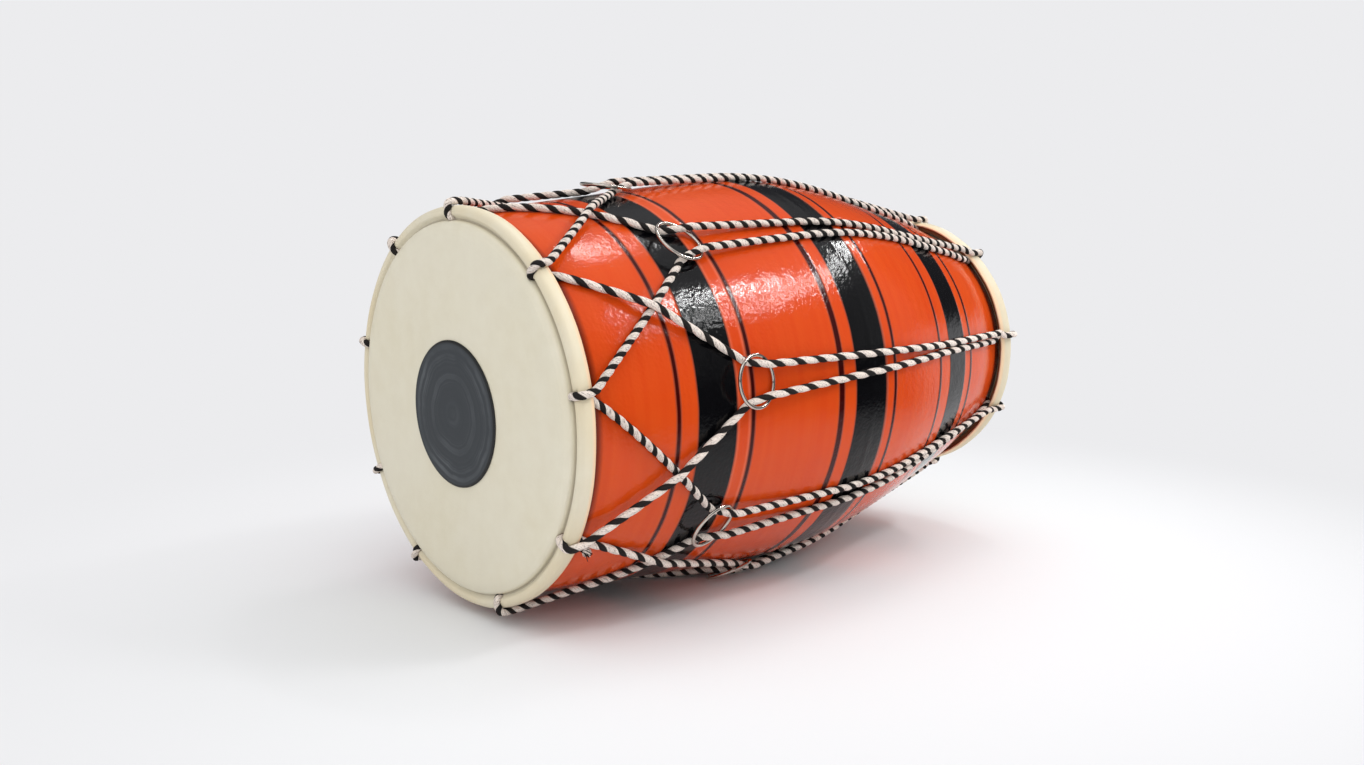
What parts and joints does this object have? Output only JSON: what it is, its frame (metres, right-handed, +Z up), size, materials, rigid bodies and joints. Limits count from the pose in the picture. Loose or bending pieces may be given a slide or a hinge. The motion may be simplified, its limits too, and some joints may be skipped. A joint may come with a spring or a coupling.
{
  "type": "dholak",
  "caption": "Two-headed barrel hand drum lying on its side, its heads laced hoop to hoop with rope that runs through sliding tuning rings.",
  "frame": {"origin": "middle of the footprint of the part's bounding box, on the surface that it lies on", "axes": "+X along the length towards the smaller head, +Z up; the drum axis rises 1.8 degrees towards +X"},
  "size_m": [0.4782, 0.294, 0.2957],
  "materials": {
    "lacquered_wood": "orange-red lacquer with dark painted bands, glossy",
    "goat_skin": "pale rawhide, slightly mottled",
    "cane_hoop": "plain, inside the wrapped skin",
    "tuning_paste": "dried dark paste, matt with faint rings",
    "cotton_rope": "twisted, cream strands with black ones",
    "steel_ring": "bright, plain wire"
  },
  "bodies": {
    "drum": {"wooden_shell": "lacquered_wood", "front_head_skin": "goat_skin", "front_hoop": "cane_hoop", "rear_head_skin": "goat_skin", "rear_hoop": "cane_hoop", "tuning_patch": "tuning_paste", "front_lace_1": "cotton_rope", "rear_lace_1": "cotton_rope", "front_lace_2": "cotton_rope", "rear_lace_2": "cotton_rope", "front_lace_3": "cotton_rope", "rear_lace_3": "cotton_rope", "front_lace_4": "cotton_rope", "rear_lace_4": "cotton_rope", "front_lace_5": "cotton_rope", "rear_lace_5": "cotton_rope", "front_lace_6": "cotton_rope", "rear_lace_6": "cotton_rope", "front_lace_7": "cotton_rope", "rear_lace_7": "cotton_rope", "front_lace_8": "cotton_rope", "rear_lace_8": "cotton_rope", "front_lace_9": "cotton_rope", "rear_lace_9": "cotton_rope", "rope_tail": "cotton_rope"},
    "tuning_ring_1": {"tuning_ring_1": "steel_ring"},
    "tuning_ring_2": {"tuning_ring_2": "steel_ring"},
    "tuning_ring_3": {"tuning_ring_3": "steel_ring"},
    "tuning_ring_4": {"tuning_ring_4": "steel_ring"},
    "tuning_ring_5": {"tuning_ring_5": "steel_ring"},
    "tuning_ring_6": {"tuning_ring_6": "steel_ring"},
    "tuning_ring_7": {"tuning_ring_7": "steel_ring"},
    "tuning_ring_8": {"tuning_ring_8": "steel_ring"},
    "tuning_ring_9": {"tuning_ring_9": "steel_ring"}
  },
  "joints": [
    {"name": "ring_1_slide", "type": "slide", "parent": "drum", "child": "tuning_ring_1", "axis": [0.9947, -0.0935, 0.0421], "range_m": [-0.012, 0.025], "deforming": ["front_lace_9", "front_lace_2", "rear_lace_1"]},
    {"name": "ring_2_slide", "type": "slide", "parent": "drum", "child": "tuning_ring_2", "axis": [0.9931, -0.0612, 0.1004], "range_m": [-0.012, 0.025], "deforming": ["front_lace_1", "front_lace_3", "rear_lace_2"]},
    {"name": "ring_3_slide", "type": "slide", "parent": "drum", "child": "tuning_ring_3", "axis": [0.9921, -0.0057, 0.1252], "range_m": [-0.012, 0.025], "deforming": ["front_lace_2", "front_lace_4", "rear_lace_3"]},
    {"name": "ring_4_slide", "type": "slide", "parent": "drum", "child": "tuning_ring_4", "axis": [0.9927, 0.0546, 0.1078], "range_m": [-0.012, 0.025], "deforming": ["front_lace_3", "front_lace_5", "rear_lace_4"]},
    {"name": "ring_5_slide", "type": "slide", "parent": "drum", "child": "tuning_ring_5", "axis": [0.9942, 0.0902, 0.058], "range_m": [-0.012, 0.025], "deforming": ["front_lace_4", "front_lace_6", "rear_lace_5"]},
    {"name": "ring_6_slide", "type": "slide", "parent": "drum", "child": "tuning_ring_6", "axis": [0.9964, 0.0846, -0.01], "range_m": [-0.012, 0.025], "deforming": ["front_lace_5", "front_lace_7", "rear_lace_6"]},
    {"name": "ring_7_slide", "type": "slide", "parent": "drum", "child": "tuning_ring_7", "axis": [0.9976, 0.0485, -0.0494], "range_m": [-0.012, 0.025], "deforming": ["front_lace_6", "front_lace_8", "rear_lace_7"]},
    {"name": "ring_8_slide", "type": "slide", "parent": "drum", "child": "tuning_ring_8", "axis": [0.9999, -0.0131, -0.0026], "range_m": [-0.012, 0.025], "deforming": ["front_lace_7", "front_lace_9", "rear_lace_8"]},
    {"name": "ring_9_slide", "type": "slide", "parent": "drum", "child": "tuning_ring_9", "axis": [0.9969, -0.0766, -0.0204], "range_m": [-0.012, 0.025], "deforming": ["front_lace_8", "front_lace_1", "rear_lace_9"]}
  ]
}
